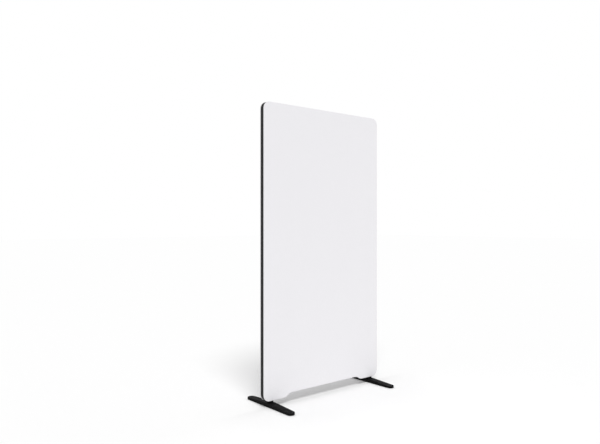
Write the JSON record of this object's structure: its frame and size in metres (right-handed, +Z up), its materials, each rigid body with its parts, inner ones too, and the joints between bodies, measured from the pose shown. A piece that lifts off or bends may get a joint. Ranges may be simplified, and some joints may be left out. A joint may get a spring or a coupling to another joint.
{
  "type": "acoustic divider screen",
  "caption": "Tall free-standing acoustic divider screen: fabric-faced panel with rounded corners and a dark edge trim, on tapered bar feet with levelling glides.",
  "frame": {"origin": "on the floor, under the middle of the panel's length and thickness, with the glides screwed fully in", "axes": "+X along the panel to the right as seen from the front, +Y from the front face to the rear face, +Z up"},
  "size_m": [0.8, 0.357, 1.492],
  "materials": {
    "cover_fabric": "matte",
    "board_felt": "matte",
    "absorber_felt": "matte",
    "trim_plastic": "satin",
    "frame_steel": "satin",
    "core_wood": "matte",
    "foot_steel": "satin",
    "zinc_steel": "satin",
    "glide_rubber": "matte"
  },
  "bodies": {
    "screen": {"bolt_anchors": "zinc_steel", "bottom_edge_core": "core_wood", "bottom_frame_tube": "frame_steel", "edge_core_screws": "zinc_steel", "foot_bolts": "zinc_steel", "foot_washers": "zinc_steel", "front_acoustic_board": "board_felt", "front_fabric_cover": "cover_fabric", "left_bottom_corner_trim": "trim_plastic", "left_bottom_trim": "trim_plastic", "left_edge_core": "core_wood", "left_edge_trim": "trim_plastic", "left_foot": "foot_steel", "left_frame_tube": "frame_steel", "left_stem": "foot_steel", "left_top_corner_trim": "trim_plastic", "lower_absorber": "absorber_felt", "middle_bottom_trim": "trim_plastic", "middle_frame_tube": "frame_steel", "rear_acoustic_board": "board_felt", "rear_fabric_cover": "cover_fabric", "right_bottom_corner_trim": "trim_plastic", "right_bottom_trim": "trim_plastic", "right_edge_core": "core_wood", "right_edge_trim": "trim_plastic", "right_foot": "foot_steel", "right_frame_tube": "frame_steel", "right_stem": "foot_steel", "right_top_corner_trim": "trim_plastic", "top_edge_core": "core_wood", "top_edge_trim": "trim_plastic", "top_frame_tube": "frame_steel", "upper_absorber": "absorber_felt"},
    "front_left_glide": {"front_left_glide_pad": "glide_rubber", "front_left_glide_stud": "zinc_steel"},
    "rear_left_glide": {"rear_left_glide_pad": "glide_rubber", "rear_left_glide_stud": "zinc_steel"},
    "front_right_glide": {"front_right_glide_pad": "glide_rubber", "front_right_glide_stud": "zinc_steel"},
    "rear_right_glide": {"rear_right_glide_pad": "glide_rubber", "rear_right_glide_stud": "zinc_steel"}
  },
  "joints": [
    {"name": "front_left_glide_travel", "type": "slide", "parent": "screen", "child": "front_left_glide", "axis": [0, 0, -1], "range_m": [0, 0.003]},
    {"name": "rear_left_glide_travel", "type": "slide", "parent": "screen", "child": "rear_left_glide", "axis": [0, 0, -1], "range_m": [0, 0.003]},
    {"name": "front_right_glide_travel", "type": "slide", "parent": "screen", "child": "front_right_glide", "axis": [0, 0, -1], "range_m": [0, 0.003]},
    {"name": "rear_right_glide_travel", "type": "slide", "parent": "screen", "child": "rear_right_glide", "axis": [0, 0, -1], "range_m": [0, 0.003]}
  ]
}
